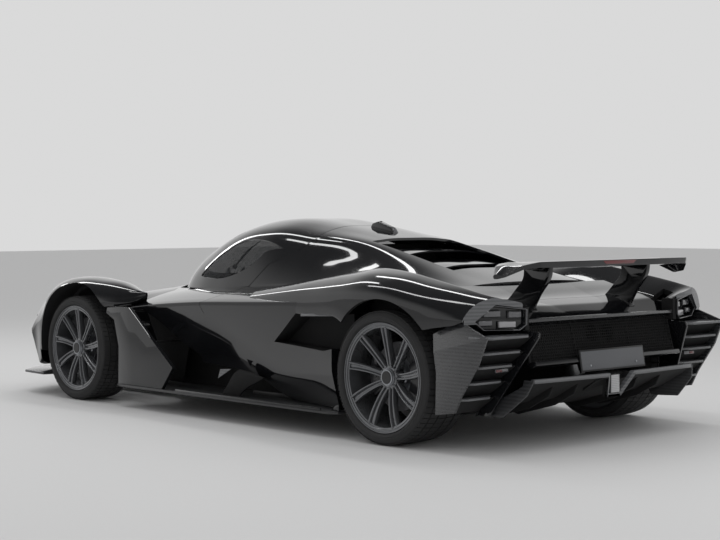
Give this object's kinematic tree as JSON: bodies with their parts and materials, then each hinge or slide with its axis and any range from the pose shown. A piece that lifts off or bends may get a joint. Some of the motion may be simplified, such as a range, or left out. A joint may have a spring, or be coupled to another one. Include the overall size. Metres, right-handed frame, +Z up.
{
  "type": "hypercar",
  "caption": "Closed-cockpit mid-engined two-seat hypercar with free front fenders, front-hinged canopy, louvred engine cover, low rear wing and rolling, steered wheels.",
  "frame": {"origin": "on the ground in the middle of the length and width, where the wheels stand", "axes": "+X towards the nose, +Y to the car's left, +Z up"},
  "size_m": [4.626, 1.9844, 1.153],
  "materials": {
    "body_gloss": "gloss",
    "carbon": "satin",
    "matte_black": "matte",
    "rim_anthracite": "gloss",
    "tyre": "matte",
    "disc": "satin",
    "metal": "satin",
    "glass": "gloss",
    "lamp": "gloss",
    "plate": "matte",
    "interior": "matte"
  },
  "bodies": {
    "chassis": {"tub": "carbon", "floor": "carbon", "nose_cone": "body_gloss", "splitter": "carbon", "front_fenders": "body_gloss", "vent_blades": "body_gloss", "sidepods": "body_gloss", "sill_blades": "carbon", "engine_cover": "body_gloss", "roof_camera": "matte_black", "rear_deck": "body_gloss", "rear_fenders": "body_gloss", "rear_corners": "carbon", "tail_frame": "matte_black", "diffuser": "carbon", "rear_wing": "body_gloss", "wing_pylons": "body_gloss", "lamps": "lamp", "number_plate": "plate", "engine_block": "metal", "exhaust_tips": "metal", "suspension_arms": "carbon", "rear_knuckles": "metal", "seats": "interior", "dashboard": "interior", "steering_wheel": "matte_black"},
    "canopy": {"canopy_frame": "body_gloss", "canopy_glass": "glass", "wiper": "matte_black"},
    "knuckle_left": {"knuckle_left": "metal"},
    "knuckle_right": {"knuckle_right": "metal"},
    "wheel_front_left": {"tyre_front_left": "tyre", "rim_front_left": "rim_anthracite", "brake_disc_front_left": "disc"},
    "wheel_front_right": {"tyre_front_right": "tyre", "rim_front_right": "rim_anthracite", "brake_disc_front_right": "disc"},
    "wheel_rear_left": {"tyre_rear_left": "tyre", "rim_rear_left": "rim_anthracite", "brake_disc_rear_left": "disc"},
    "wheel_rear_right": {"tyre_rear_right": "tyre", "rim_rear_right": "rim_anthracite", "brake_disc_rear_right": "disc"}
  },
  "joints": [
    {"name": "canopy_hinge", "type": "hinge", "parent": "chassis", "child": "canopy", "pos_m": [0.988, 0, 0.733], "axis": [0, 1, 0], "range_deg": [0, 55]},
    {"name": "steer_left", "type": "hinge", "parent": "chassis", "child": "knuckle_left", "pos_m": [1.313, 0.775, 0.3305], "axis": [0, 0, 1], "range_deg": [-28, 28]},
    {"name": "steer_right", "type": "hinge", "parent": "chassis", "child": "knuckle_right", "pos_m": [1.313, -0.775, 0.3305], "axis": [0, 0, 1], "range_deg": [-28, 28]},
    {"name": "roll_front_left", "type": "hinge", "parent": "knuckle_left", "child": "wheel_front_left", "pos_m": [1.313, 0.845, 0.3305], "axis": [0, 1, 0], "continuous": true},
    {"name": "roll_front_right", "type": "hinge", "parent": "knuckle_right", "child": "wheel_front_right", "pos_m": [1.313, -0.845, 0.3305], "axis": [0, 1, 0], "continuous": true},
    {"name": "roll_rear_left", "type": "hinge", "parent": "chassis", "child": "wheel_rear_left", "pos_m": [-1.537, 0.83, 0.345], "axis": [0, 1, 0], "continuous": true},
    {"name": "roll_rear_right", "type": "hinge", "parent": "chassis", "child": "wheel_rear_right", "pos_m": [-1.537, -0.83, 0.345], "axis": [0, 1, 0], "continuous": true}
  ],
  "couplings": [
    {"joint": "steer_right", "follows": "steer_left", "ratio": 1}
  ]
}
